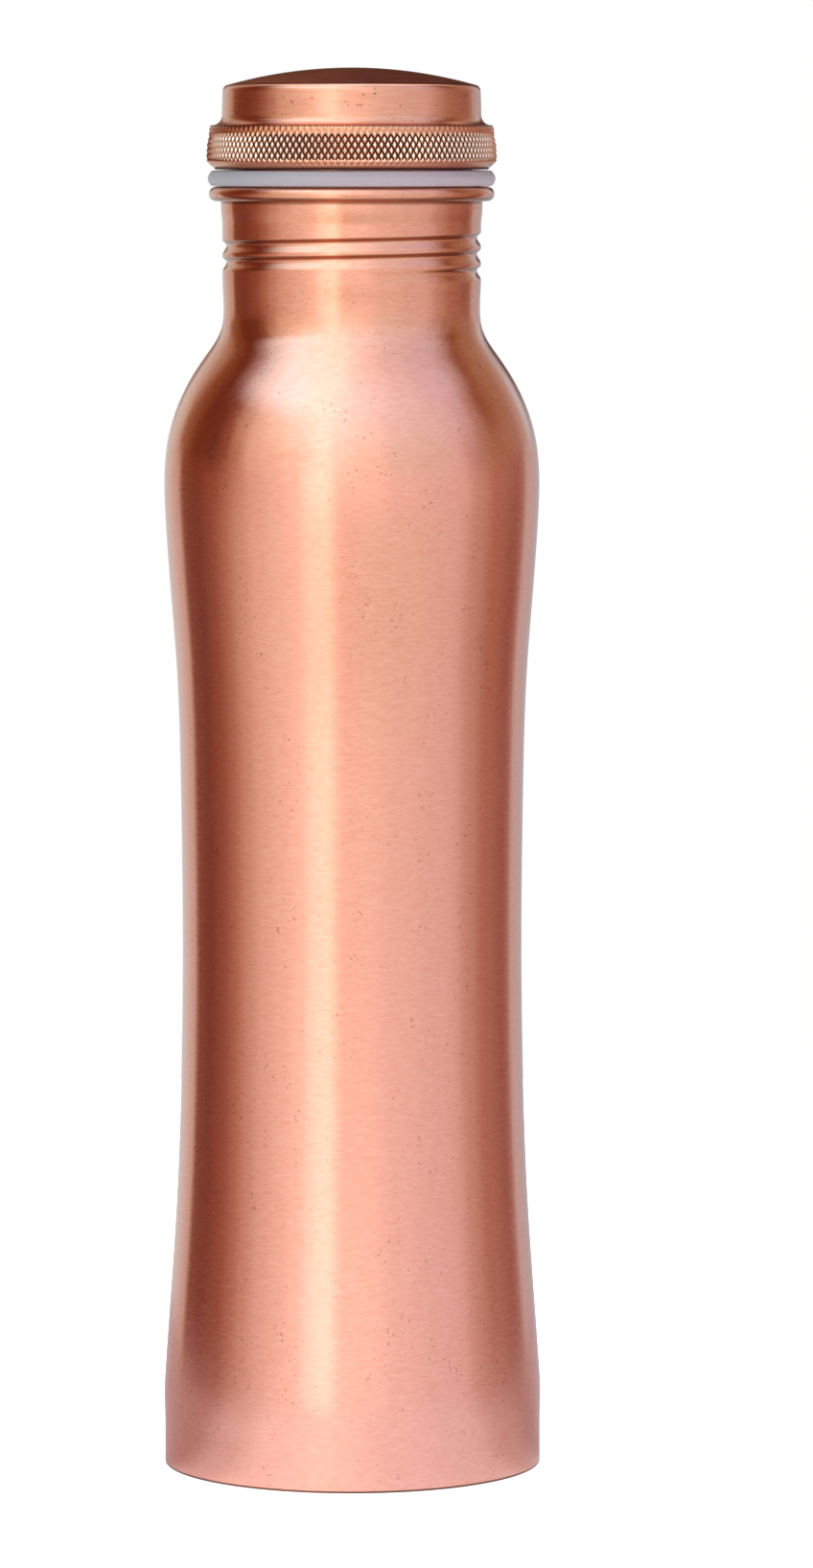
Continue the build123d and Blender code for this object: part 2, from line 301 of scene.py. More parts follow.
def moulded(r, z, th):
    out = r > 27.0
    return np.where(out, r - 0.03 * (0.5 + 0.5 * np.sin(7 * th + 1.0)) - 0.02 * (0.5 + 0.5 * np.sin(19 * th)), r), z


gasket = lathe("silicone_gasket", gasket_outline, 240, True, moulded)

# ---------------------------------------------------------------------------
# grip ring with a cut diamond knurl
# ---------------------------------------------------------------------------
KNURLS, ROW = 136, 1.06
CELL = 10                     # columns to one knurl, and rows to two rows of knurls
SEAT_R, SEAT_Z = 27.50, 265.34
ring_face = rounded([(26.90, 257.20), (28.52, 258.75), (28.62, 259.40), (28.46, 262.20), (28.12, 263.60),
                     (28.02, 265.50), (27.72, 265.90), (27.50, 265.90), (27.50, 265.34), (25.00, 265.34),
                     (25.00, 258.30), (23.95, 258.30), (23.95, 257.20)],
                    [0.30, 0.55, 0.8, 2.0, 1.2, 0.25, 0.06, 0.06, 0.0, 0.0, 0.0, 0.12, 0.12], 0.13)


def on_lattice(outline, lo, hi):
    """The outline with its outer face between two heights drawn again on the knurl's own rows."""
    face = [q for q in outline if q[0] > 27.3 and lo < q[1] < hi and q[1] < 265.89]
    rest = [q for q in outline if q not in face]
    first = outline.index(face[0])
    zs = [q[1] for q in face]
    step = 2 * ROW / CELL
    k0, k1 = math.ceil((zs[0] - 259.9) / step), math.floor((zs[-1] - 259.9) / step)
    rows_ = [259.9 + step * k for k in range(k0, k1 + 1)]
    new = [(float(np.interp(z, zs, [q[0] for q in face])), z) for z in rows_]
    return [q for q in rest if outline.index(q) < first] + new + [q for q in rest if outline.index(q) > first]


ring_face = thin(on_lattice(ring_face, 257.75, 265.70), lambda q: q[0] > 27.3 and 257.7 < q[1] < 265.75)


def knurled(r, z, th):
    face = (r > 27.2) & (z > 257.3) & (z < 265.80)
    u = (th * KNURLS / TAU + (z - 259.9) / (2 * ROW)) % 1.0
    v = (th * KNURLS / TAU - (z - 259.9) / (2 * ROW)) % 1.0
    cut_u = np.abs(u - 0.5) * 2        # 1 in the groove, 0 on the crest
    cut_v = np.abs(v - 0.5) * 2
    groove = np.maximum(cut_u, cut_v)
    body = np.clip((groove - 0.20) / 0.80, 0, 1)
    full = smooth((z - 258.85) / 0.45) * smooth((264.45 - z) / 0.40)
    faint = smooth((z - 257.9) / 0.4)
    depth = 0.42 * full + 0.16 * faint * (1 - full)
    return np.where(face, r - depth * body, r), z


ring = lathe("knurled_grip_ring", ring_face, KNURLS * CELL, True, knurled)

# ---------------------------------------------------------------------------
# threaded plug
# ---------------------------------------------------------------------------
PLUG_R, PLUG_WALL, PLUG_LOW = 23.85, 0.55, 238.20
PLUG_THREAD_Z = NECK_THREAD_Z + PITCH / 2
wall_out = run((PLUG_R, PLUG_LOW + 0.25), (PLUG_R, 246.5), 0.13) + run((PLUG_R, 246.5), (PLUG_R, 258.30), 0.9)
wall_in = run((PLUG_R - PLUG_WALL, 258.85), (PLUG_R - PLUG_WALL, 246.5), 0.9) \
    + run((PLUG_R - PLUG_WALL, 246.5), (PLUG_R - PLUG_WALL, PLUG_LOW + 0.12), 0.13)
plug_outline = [(PLUG_R - PLUG_WALL + 0.08, PLUG_LOW), (PLUG_R - 0.2, PLUG_LOW), (PLUG_R - 0.06, PLUG_LOW + 0.07)] \
    + wall_out + [(PLUG_R, 258.30), (24.80, 258.30), (24.92, 258.40), (24.92, 258.75), (24.80, 258.85)] \
    + wall_in


def plug_rise(z, th):
    out = np.zeros_like(z)
    a = np.degrees(th)
    for turn in range(0, 2):
        phi = a + 360 * turn
        amp = smooth((phi - 45) / 60) * smooth((600 - phi) / 90)
        d = np.abs(z - (PLUG_THREAD_Z + PITCH * phi / 360)) / 1.02
        out += amp * np.where(d < 1, 0.5 + 0.5 * np.cos(math.pi * np.clip(d, 0, 1)), 0) ** 0.85
    return out


def plug_shape(r, z, th):
    zone = (z > PLUG_LOW + 0.05) & (z < 247)
    k = np.where(r > PLUG_R - 0.3, 0.90, 0.80)
    return np.where(zone, r + k * plug_rise(z, th), r), z


plug = lathe("threaded_plug_sleeve", plug_outline, 256, True, plug_shape)
plug_seam = lathe("braze_plug", [(25.0, 258.85), (25.0, 259.40), (24.88, 259.20), (24.80, 259.05), (24.66, 258.95),
                                 (24.40, 258.85)], 240, True, wavy(2.0, 0.25))

# ---------------------------------------------------------------------------
# crown
# ---------------------------------------------------------------------------
TOP, DOME_R, CROWN_WALL = 277.20, 89.3, 0.60
FLARE_R = 1.90
FLARE_C, FLARE_Z = 25.56 + FLARE_R, 265.90 + FLARE_R
DOME_C = TOP - DOME_R


def crown_line(d, corner):
    """The crown's skin, d millimetres inside its outer face, from the flange up to the top."""
    rd, rw, rl = DOME_R - d, 25.42 - d, 25.56 - d
    zc = DOME_C + math.sqrt(rd ** 2 - rw ** 2)
    low = 270 if d == 0 else 180 + math.degrees(math.asin((FLARE_Z - SEAT_Z) / (FLARE_R + d)))
    line = arc((FLARE_C, FLARE_Z), FLARE_R + d, low, 180, 0.10)
    tan_d = math.asin(rw / rd)
    turn = math.pi / 2 - tan_d
    t = corner * math.tan(turn / 2)
    start = zc - t
    c = (rw - corner, start)
    line += run(line[-1], (rw, start), 0.35)[1:] + arc(c, corner, 0, math.degrees(turn), 0.10)
    top = line[-1]
    steps = 46
    a0 = math.asin(top[0] / rd)
    for i in range(1, steps + 1):
        a = a0 * (1 - i / steps)
        line.append((rd * math.sin(a), DOME_C + rd * math.cos(a)))
    line[-1] = (0.0, DOME_C + rd)
    return line


skin = crown_line(0.0, 1.35)
lining = crown_line(CROWN_WALL, 0.75)
crown_outline = [(FLARE_C, SEAT_Z)] + skin + list(reversed(lining))
crown = lathe("domed_crown", crown_outline, 256)
crown_seam_line = [(25.10, 265.34), (26.50, 265.34), (26.50, 265.48)] \
    + arc((FLARE_C, FLARE_Z), FLARE_R + CROWN_WALL, 180 + 66, 180 + 35, 0.1) + [(25.39, 266.10), (25.35, 265.80)]
crown_seam = lathe("braze_crown", crown_seam_line, 240, True, wavy(3.0, 0.12))


# ---------------------------------------------------------------------------
# materials
# ---------------------------------------------------------------------------
def new_material(name):
    mat = bpy.data.materials.new(name)
    mat.use_nodes = True
    nt = mat.node_tree
    nt.nodes.clear()
    out = nt.nodes.new("ShaderNodeOutputMaterial")
    bsdf = nt.nodes.new("ShaderNodeBsdfPrincipled")
    nt.links.new(bsdf.outputs[0], out.inputs[0])
    return mat, nt, bsdf


def add(nt, kind, inputs=None, **props):
    node = nt.nodes.new(kind)
    for k, v in props.items():
        setattr(node, k, v)
    for k, v in (inputs or {}).items():
        if isinstance(v, bpy.types.NodeSocket):
            nt.links.new(v, node.inputs[k])
        else:
            node.inputs[k].default_value = v
    return node


def math_node(nt, op, a, b=None, c=None, clamp=False):
    node = nt.nodes.new("ShaderNodeMath")
    node.operation = op
    node.use_clamp = clamp
    for i, v in enumerate((a, b, c)):
        if v is None:
            continue
        if isinstance(v, bpy.types.NodeSocket):
            nt.links.new(v, node.inputs[i])
        else:
            node.inputs[i].default_value = v
    return node.outputs[0]


def streaks(nt, coords, around, along, detail=3.0, rough=0.6):
    """Noise drawn out round the axis: around and along are its scales per metre."""
    m = add(nt, "ShaderNodeMapping", {"Vector": coords, "Scale": (around, around, along)})
    n = add(nt, "ShaderNodeTexNoise", {"Vector": m.outputs[0], "Scale": 1.0, "Detail": detail, "Roughness": rough})
    return n.outputs[0]


def blend_colour(nt, fac, a, b, mode="MIX"):
    n = nt.nodes.new("ShaderNodeMix")
    n.data_type = "RGBA"
    n.blend_type = mode
    for sock, v in ((n.inputs[0], fac), (n.inputs[6], a), (n.inputs[7], b)):
        if isinstance(v, bpy.types.NodeSocket):
            nt.links.new(v, sock)
        else:
            sock.default_value = v
    return n.outputs[2]


def rgb(r, g, b):
    return (r, g, b, 1.0)


def copper(name, light, dark, warm, roughness, anisotropy, grain=1.0, bump=0.05, z_lo=0.0, z_hi=0.28, tilt=0.25,
           polish=0.0, polish_z=(0.218, 0.231), cuts=False, neck=False, mark=430, pits=0.45, rim_line=False):
    mat, nt, bsdf = new_material(name)
    coords = add(nt, "ShaderNodeTexCoord").outputs["Object"]
    fine = streaks(nt, coords, mark * 1.8, 4800 * grain, 2.0, 0.6)
    mid = streaks(nt, coords, mark, 2200 * grain, 2.0, 0.6)
    wide = streaks(nt, coords, 40, 500, 2.0, 0.5)
    cloud = add(nt, "ShaderNodeTexNoise", {"Vector": coords, "Scale": 38.0, "Detail": 4.0, "Roughness": 0.55}).outputs[0]
    grainy = math_node(nt, "ADD", math_node(nt, "MULTIPLY", fine, 0.5), math_node(nt, "MULTIPLY", mid, 0.5))
    f = add(nt, "ShaderNodeMapRange", {"Value": grainy, "From Min": 0.32, "From Max": 0.68}).outputs[0]
    base = blend_colour(nt, f, rgb(*dark), rgb(*light))
    z = add(nt, "ShaderNodeSeparateXYZ", {"Vector": coords}).outputs[2]
    up = add(nt, "ShaderNodeMapRange", {"Value": z, "From Min": z_lo, "From Max": z_hi}, interpolation_type="SMOOTHSTEP").outputs[0]
    tone = math_node(nt, "MULTIPLY_ADD", cloud, 0.5, math_node(nt, "MULTIPLY", up, 0.55), clamp=True)
    base = blend_colour(nt, tone, base, rgb(*warm), "MULTIPLY")
    if cuts:
        # painted shade in the knurl's cuts: darker the further a point is below the crests
        xyz = add(nt, "ShaderNodeSeparateXYZ", {"Vector": coords}).outputs
        rad = math_node(nt, "SQRT", math_node(nt, "MULTIPLY_ADD", xyz[0], xyz[0], math_node(nt, "MULTIPLY", xyz[1], xyz[1])))
        at = add(nt, "ShaderNodeMapRange", {"Value": xyz[2], "From Min": 0.2572, "From Max": 0.2659}).outputs[0]
        crest = nt.nodes.new("ShaderNodeValToRGB")
        crest.color_ramp.interpolation = "LINEAR"
        e = crest.color_ramp.elements
        for k, (zc, rc) in enumerate(((257.2, 27.0), (258.75, 28.50), (259.4, 28.61), (262.2, 28.45), (263.6, 28.11), (265.5, 28.02))):
            stop = e[k] if k < 2 else e.new((zc - 257.2) / 8.7)
            stop.position = (zc - 257.2) / 8.7
            stop.color = rgb(*(((rc - 26.0) / 3.0,) * 3))
        nt.links.new(at, crest.inputs[0])
        below = math_node(nt, "SUBTRACT", math_node(nt, "MULTIPLY_ADD", crest.outputs[0], 0.003, 0.026), rad)
        deep = add(nt, "ShaderNodeMapRange", {"Value": below, "From Min": 0.00018, "From Max": 0.00030},
                   interpolation_type="SMOOTHSTEP").outputs[0]
        # painted highlight: the knurl's crests lightened to cream, inside the full knurl band
        crest_highlight = add(nt, "ShaderNodeMapRange", {"Value": below, "From Min": 0.00020, "From Max": 0.00004}).outputs[0]
        mid_band = add(nt, "ShaderNodeMapRange", {"Value": xyz[2], "From Min": 0.26440, "From Max": 0.26400}).outputs[0]
        above = add(nt, "ShaderNodeMapRange", {"Value": xyz[2], "From Min": 0.25885, "From Max": 0.25925}).outputs[0]
        crest_highlight = math_node(nt, "MULTIPLY", crest_highlight, above)
        base = blend_colour(nt, math_node(nt, "MULTIPLY", crest_highlight, mid_band), base, rgb(1.0, 0.80, 0.64))
        # painted shade: near-black at the bottoms of the knurl's grooves
        base = blend_colour(nt, deep, base, rgb(0.075, 0.028, 0.014))
        top_band = add(nt, "ShaderNodeMapRange", {"Value": xyz[2], "From Min": 0.26400, "From Max": 0.26460}).outputs[0]
        low_band = add(nt, "ShaderNodeMapRange", {"Value": xyz[2], "From Min": 0.25930, "From Max": 0.25885}).outputs[0]
        band = math_node(nt, "MAXIMUM", top_band, low_band)
        base = blend_colour(nt, band, base, rgb(0.86, 0.76, 0.68), "MULTIPLY")
        # painted shade: the lowest edge of the grip ring, just over the gasket, darkened
        lip_shade = add(nt, "ShaderNodeMapRange", {"Value": xyz[2], "From Min": 0.25765, "From Max": 0.25735},
                  interpolation_type="SMOOTHSTEP").outputs[0]
        base = blend_colour(nt, lip_shade, base, rgb(0.15, 0.055, 0.035))
    if neck:
        # painted shade: a dark line under the curled rim, and a painted dark reflection on the down-facing upper flank
        # of the rolled thread
        xyz = add(nt, "ShaderNodeSeparateXYZ", {"Vector": coords}).outputs
        rad = math_node(nt, "SQRT", math_node(nt, "MULTIPLY_ADD", xyz[0], xyz[0], math_node(nt, "MULTIPLY", xyz[1], xyz[1])))
        under_rim = add(nt, "ShaderNodeMapRange", {"Value": xyz[2], "From Min": 0.2502, "From Max": 0.2509},
                        interpolation_type="SMOOTHSTEP").outputs[0]
        inside_rim = math_node(nt, "LESS_THAN", rad, 0.02595)
        facing = add(nt, "ShaderNodeSeparateXYZ", {"Vector": add(nt, "ShaderNodeTexCoord").outputs["Normal"]}).outputs[2]
        down = add(nt, "ShaderNodeMapRange", {"Value": facing, "From Min": -0.22, "From Max": -0.55},
                   interpolation_type="SMOOTHSTEP").outputs[0]
        in_thread = math_node(nt, "MULTIPLY", math_node(nt, "GREATER_THAN", xyz[2], 0.2300), math_node(nt, "LESS_THAN", xyz[2], 0.2518))
        rim_and_flank_shade = math_node(nt, "MAXIMUM", math_node(nt, "MULTIPLY", under_rim, inside_rim),
                         math_node(nt, "MULTIPLY", math_node(nt, "MULTIPLY", down, in_thread), 0.85))
        base = blend_colour(nt, rim_and_flank_shade, base, rgb(0.34, 0.13, 0.075))
        # painted contact shadow: the foot darkened over its lowest 0.6 mm
        foot_shadow = add(nt, "ShaderNodeMapRange", {"Value": xyz[2], "From Min": 0.00058, "From Max": 0.00026},
                   interpolation_type="SMOOTHSTEP").outputs[0]
        base = blend_colour(nt, foot_shadow, base, rgb(0.15, 0.06, 0.035))
        # the metal from 212 mm up towards the neck, a little deeper in colour
        neck_deeper = add(nt, "ShaderNodeMapRange", {"Value": xyz[2], "From Min": 0.2120, "From Max": 0.2300},
                   interpolation_type="SMOOTHSTEP").outputs[0]
        base = blend_colour(nt, neck_deeper, base, rgb(0.93, 0.915, 0.85), "MULTIPLY")
    if rim_line:
        # a fine dark line where the spun dome turns down into the wall
        xyz = add(nt, "ShaderNodeSeparateXYZ", {"Vector": coords}).outputs
        rad = math_node(nt, "SQRT", math_node(nt, "MULTIPLY_ADD", xyz[0], xyz[0], math_node(nt, "MULTIPLY", xyz[1], xyz[1])))
        line_in = add(nt, "ShaderNodeMapRange", {"Value": rad, "From Min": 0.02335, "From Max": 0.02370}).outputs[0]
        line_out = add(nt, "ShaderNodeMapRange", {"Value": rad, "From Min": 0.02462, "From Max": 0.02444}).outputs[0]
        on_dome = math_node(nt, "GREATER_THAN", xyz[2], 0.2712)
        line = math_node(nt, "MULTIPLY", math_node(nt, "MULTIPLY", line_in, line_out), on_dome)
        base = blend_colour(nt, math_node(nt, "MULTIPLY", line, 0.9), base, rgb(0.07, 0.015, 0.008))
    # sparse pits and nicks of handling
    speck = add(nt, "ShaderNodeTexNoise", {"Vector": coords, "Scale": 1500.0, "Detail": 0.0}).outputs[0]
    patch = add(nt, "ShaderNodeTexNoise", {"Vector": coords, "Scale": 130.0, "Detail": 1.0}).outputs[0]
    pit = math_node(nt, "MULTIPLY", add(nt, "ShaderNodeMapRange", {"Value": speck, "From Min": 0.72, "From Max": 0.78}).outputs[0],
                    add(nt, "ShaderNodeMapRange", {"Value": patch, "From Min": 0.50, "From Max": 0.60}).outputs[0])
    base = blend_colour(nt, math_node(nt, "MULTIPLY", pit, pits), base, rgb(0.30, 0.13, 0.07))
    nt.links.new(base, bsdf.inputs["Base Color"])
    r = math_node(nt, "MULTIPLY_ADD", mid, 0.16, roughness - 0.08 - 0.03)
    r = math_node(nt, "MULTIPLY_ADD", wide, 0.06, r)
    if polish:
        # turned finer above this height
        fine_turned = add(nt, "ShaderNodeMapRange", {"Value": z, "From Min": polish_z[0], "From Max": polish_z[1]},
                          interpolation_type="SMOOTHSTEP").outputs[0]
        r = math_node(nt, "MULTIPLY_ADD", fine_turned, -polish, r)
    nt.links.new(r, bsdf.inputs["Roughness"])
    height = math_node(nt, "MULTIPLY_ADD", fine, 0.6, math_node(nt, "MULTIPLY", mid, 0.8))
    b = add(nt, "ShaderNodeBump", {"Height": height, "Strength": bump, "Distance": 0.0002})
    nt.links.new(b.outputs[0], bsdf.inputs["Normal"])
    t = nt.nodes.new("ShaderNodeTangent")
    t.direction_type = "RADIAL"
    t.axis = "Z"
    nt.links.new(t.outputs[0], bsdf.inputs["Tangent"])
    bsdf.inputs["Metallic"].default_value = 1.0
    bsdf.inputs["Anisotropic"].default_value = anisotropy
    bsdf.inputs["Anisotropic Rotation"].default_value = tilt
    return mat


LIGHT, DARK, WARM = (0.95, 0.475, 0.365), (0.86, 0.37, 0.27), (1.0, 0.96, 0.88)
copper_body = copper("copper_brushed_body", LIGHT, DARK, WARM, 0.17, 0.58, polish=0.03, polish_z=(0.185, 0.212), neck=True)
copper_cap = copper("copper_turned_cap", (0.87, 0.43, 0.305), (0.75, 0.32, 0.215), WARM, 0.19, 0.50, grain=1.3, z_hi=0.29,
                    mark=150, pits=0.8, rim_line=True, polish=0.09, polish_z=(0.2733, 0.2738))
copper_knurl = copper("copper_knurled", (0.96, 0.52, 0.38), (0.84, 0.40, 0.27), WARM, 0.14, 0.0, bump=0.02, cuts=True)
copper_base = copper("copper_spun_base", (0.92, 0.46, 0.35), (0.78, 0.33, 0.24), WARM, 0.38, 0.5)


def braze_material():
    mat, nt, bsdf = new_material("braze_filler")
    coords = add(nt, "ShaderNodeTexCoord").outputs["Object"]
    n = add(nt, "ShaderNodeTexNoise", {"Vector": coords, "Scale": 900.0, "Detail": 4.0}).outputs[0]
    col = blend_colour(nt, n, rgb(0.55, 0.33, 0.17), rgb(0.86, 0.66, 0.42))
    nt.links.new(col, bsdf.inputs["Base Color"])
    nt.links.new(math_node(nt, "MULTIPLY_ADD", n, 0.3, 0.3), bsdf.inputs["Roughness"])
    b = add(nt, "ShaderNodeBump", {"Height": n, "Strength": 0.25, "Distance": 0.0002})
    nt.links.new(b.outputs[0], bsdf.inputs["Normal"])
    bsdf.inputs["Metallic"].default_value = 1.0
    return mat


def silicone_material():
    mat, nt, bsdf = new_material("silicone_milky")
    coords = add(nt, "ShaderNodeTexCoord").outputs["Object"]
    cloud = add(nt, "ShaderNodeTexNoise", {"Vector": coords, "Scale": 120.0, "Detail": 3.0}).outputs[0]
    line = streaks(nt, coords, 70, 2600, 2.0, 0.5)
    # painted light: the silicone tinted bluish on its -x side and pinker towards the middle and +x
    side = add(nt, "ShaderNodeMapRange", {"Value": add(nt, "ShaderNodeSeparateXYZ", {"Vector": coords}).outputs[0],
                                          "From Min": -0.022, "From Max": 0.004}).outputs[0]
    bluish = blend_colour(nt, cloud, rgb(0.29, 0.305, 0.315), rgb(0.33, 0.325, 0.335))
    pinkish = blend_colour(nt, cloud, rgb(0.35, 0.285, 0.305), rgb(0.41, 0.315, 0.335))
    col = blend_colour(nt, side, bluish, pinkish)
    col = blend_colour(nt, math_node(nt, "MULTIPLY", line, 0.35), col, rgb(0.45, 0.385, 0.40))
    nt.links.new(col, bsdf.inputs["Base Color"])
    nt.links.new(math_node(nt, "MULTIPLY_ADD", cloud, 0.2, 0.32), bsdf.inputs["Roughness"])
    b = add(nt, "ShaderNodeBump", {"Height": line, "Strength": 0.12, "Distance": 0.0003})
    nt.links.new(b.outputs[0], bsdf.inputs["Normal"])
    bsdf.inputs["IOR"].default_value = 1.41
    bsdf.inputs["Subsurface Weight"].default_value = 0.35
    bsdf.inputs["Subsurface Radius"].default_value = (0.0012, 0.0011, 0.0012)
    bsdf.inputs["Subsurface Scale"].default_value = 1.0
    return mat


braze = braze_material()
silicone = silicone_material()

for obj, node, body, mat, slot in (
    (body_shell, "body_shell", "bottle", copper_body, "copper_body"),
    (base_disc, "base_disc", "bottle", copper_base, "copper_body"),
    (base_seam, "base_braze_seam", "bottle", braze, "braze"),
    (gasket, "gasket", "seal", silicone, "silicone"),
    (ring, "grip_ring", "cap", copper_knurl, "copper_cap"),
    (plug, "threaded_plug", "cap", copper_cap, "copper_cap"),
    (plug_seam, "plug_braze_seam", "cap", braze, "braze"),
    (crown, "crown", "cap", copper_cap, "copper_cap"),
    (crown_seam, "crown_braze_seam", "cap", braze, "braze"),
):
    obj.data.materials.append(mat)
    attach(obj, body)
    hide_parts(node)
    cad = NODES[node]
    cad.data.materials.clear()
    cad.data.materials.append(mat)

# ---------------------------------------------------------------------------
# floor: a pale glowing table, and the bounce that it gives to the metal standing on it
# ---------------------------------------------------------------------------
def disc(name, radius, z, mat):
    mesh = bpy.data.meshes.new(name)
    mesh.from_pydata([(radius * math.cos(TAU * i / 96), radius * math.sin(TAU * i / 96), 0.0) for i in range(96)],
                     [], [list(range(96))])
    mesh.materials.append(mat)
    obj = bpy.data.objects.new(name, mesh)
    obj.location.z = z
    bpy.context.scene.collection.objects.link(obj)
    return obj


fmat, fnt, fb = new_material("floor_pale")
fc = add(fnt, "ShaderNodeTexCoord").outputs["Object"]
fn = add(fnt, "ShaderNodeTexNoise", {"Vector": fc, "Scale": 3.0, "Detail": 2.0}).outputs[0]
fnt.links.new(blend_colour(fnt, fn, rgb(0.90, 0.90, 0.90), rgb(0.93, 0.93, 0.93)), fb.inputs["Base Color"])
fb.inputs["Roughness"].default_value = 0.9
fb.inputs["Specular IOR Level"].default_value = 0.1
fb.inputs["Emission Color"].default_value = (1, 1, 1, 1)
fb.inputs["Emission Strength"].default_value = 0.75
floor = disc("studio_floor", 0.60, -0.00005, fmat)
floor.visible_glossy = False
floor.visible_shadow = False

bmat = bpy.data.materials.new("floor_bounce")
bmat.use_nodes = True
bnt = bmat.node_tree
bnt.nodes.clear()
bout = bnt.nodes.new("ShaderNodeOutputMaterial")
bounce = disc("studio_bounce", 0.26, -0.0006, bmat)
bounce.visible_camera = False
bounce.visible_diffuse = False

# ---------------------------------------------------------------------------
# light: a soft studio painted on the world, by direction from the object
# ---------------------------------------------------------------------------
world = bpy.data.worlds.new("studio")
bpy.context.scene.world = world
world.use_nodes = True
wt = world.node_tree
wt.nodes.clear()
w_out = wt.nodes.new("ShaderNodeOutputWorld")
d = add(wt, "ShaderNodeTexCoord").outputs["Generated"]
sep = add(wt, "ShaderNodeSeparateXYZ", {"Vector": d})
az = math_node(wt, "ARCTAN2", sep.outputs[0], math_node(wt, "MULTIPLY", sep.outputs[1], -1.0))
az01 = math_node(wt, "MULTIPLY_ADD", az, 1 / TAU, 0.5)
el = math_node(wt, "ARCSINE", sep.outputs[2])


def ramp(nt, value, stops):
    """stops: (place 0..1, colour). Linear between them."""
    node = nt.nodes.new("ShaderNodeValToRGB")
    node.color_ramp.interpolation = "EASE"
    el_ = node.color_ramp.elements
    while len(el_) > 1:
        el_.remove(el_[-1])
    el_[0].position = stops[0][0]
    el_[0].color = stops[0][1]
    for p, c in stops[1:]:
        e = el_.new(p)
        e.color = c
    nt.links.new(value, node.inputs[0])
    return node.outputs[0]


def by_azimuth(stops):
    return ramp(wt, az01, [((a + 180) / 360, rgb(*c)) for a, c in stops])


def tone(r, g, b):
    return (r / 3.0, g / 3.0, b / 3.0)


# the table in front of the object is the bright part of it
bc = add(bnt, "ShaderNodeSeparateXYZ", {"Vector": add(bnt, "ShaderNodeTexCoord").outputs["Object"]})
baz = math_node(bnt, "ARCTAN2", bc.outputs[0], math_node(bnt, "MULTIPLY", bc.outputs[1], -1.0))
table_light = ramp(bnt, math_node(bnt, "MULTIPLY_ADD", baz, 1 / TAU, 0.5), [((a_ + 180) / 360, rgb(*c_)) for a_, c_ in (
    (-180, tone(0.60, 0.59, 0.65)), (-130, tone(0.52, 0.45, 0.47)), (-90, tone(0.50, 0.40, 0.43)),
    (-62, tone(0.80, 0.81, 0.90)), (-40, tone(1.10, 1.17, 1.29)), (-14, tone(1.25, 1.33, 1.40)),
    (20, tone(1.00, 1.06, 1.21)), (58, tone(0.86, 0.91, 1.05)), (86, tone(0.62, 0.57, 0.63)),
    (110, tone(0.48, 0.40, 0.43)), (140, tone(0.52, 0.47, 0.52)), (180, tone(0.60, 0.59, 0.65)))])
bem = add(bnt, "ShaderNodeEmission", {"Color": table_light, "Strength": 3.0})
bnt.links.new(bem.outputs[0], bout.inputs[0])

# what the object sees, in rings from below level to overhead
below_ring = by_azimuth([
    (-180, tone(0.58, 0.60, 0.59)), (-150, tone(0.69, 0.80, 0.84)), (-135, tone(0.70, 0.73, 0.74)),
    (-129, tone(0.25, 0.12, 0.095)), (-112, tone(0.19, 0.093, 0.096)), (-100, tone(0.29, 0.15, 0.11)),
    (-88, tone(0.47, 0.32, 0.28)), (-76, tone(0.69, 0.63, 0.56)), (-62, tone(0.87, 0.87, 0.81)),
    (-46, tone(0.97, 1.03, 0.98)), (-36, tone(1.05, 1.09, 1.05)), (-26, tone(1.40, 1.39, 1.31)),
    (-16, tone(1.45, 1.41, 1.26)), (-6, tone(0.93, 0.91, 0.82)), (10, tone(0.88, 0.91, 0.88)),
    (40, tone(0.84, 0.89, 0.85)), (66, tone(0.79, 0.79, 0.82)), (84, tone(0.57, 0.48, 0.45)),
    (102, tone(0.40, 0.25, 0.19)), (124, tone(0.28, 0.13, 0.10)), (130, tone(0.34, 0.21, 0.18)),
    (138, tone(0.61, 0.64, 0.72)), (160, tone(0.48, 0.55, 0.60)), (180, tone(0.46, 0.49, 0.52)),
])
level_ring = by_azimuth([
    (-180, tone(0.70, 0.72, 0.72)), (-150, tone(0.66, 0.72, 0.74)), (-134, tone(0.63, 0.57, 0.52)),
    (-128, tone(0.24, 0.11, 0.071)), (-112, tone(0.23, 0.087, 0.059)), (-94, tone(0.31, 0.14, 0.098)),
    (-84, tone(0.44, 0.27, 0.21)), (-74, tone(0.61, 0.47, 0.43)), (-62, tone(0.82, 0.75, 0.75)),
    (-48, tone(0.98, 0.96, 0.98)), (-36, tone(1.19, 1.19, 1.25)), (-26, tone(1.75, 1.72, 1.77)),
    (-17, tone(1.95, 1.95, 1.96)), (-6, tone(1.20, 1.20, 1.24)), (10, tone(1.18, 1.22, 1.28)),
    (30, tone(1.01, 0.99, 1.11)), (56, tone(0.87, 0.85, 0.97)), (72, tone(0.82, 0.78, 0.87)),
    (86, tone(0.62, 0.51, 0.50)), (100, tone(0.47, 0.31, 0.28)), (124, tone(0.37, 0.22, 0.20)),
    (130, tone(0.41, 0.28, 0.27)), (138, tone(0.59, 0.60, 0.64)), (160, tone(0.51, 0.53, 0.59)),
    (180, tone(0.52, 0.53, 0.56)),
])
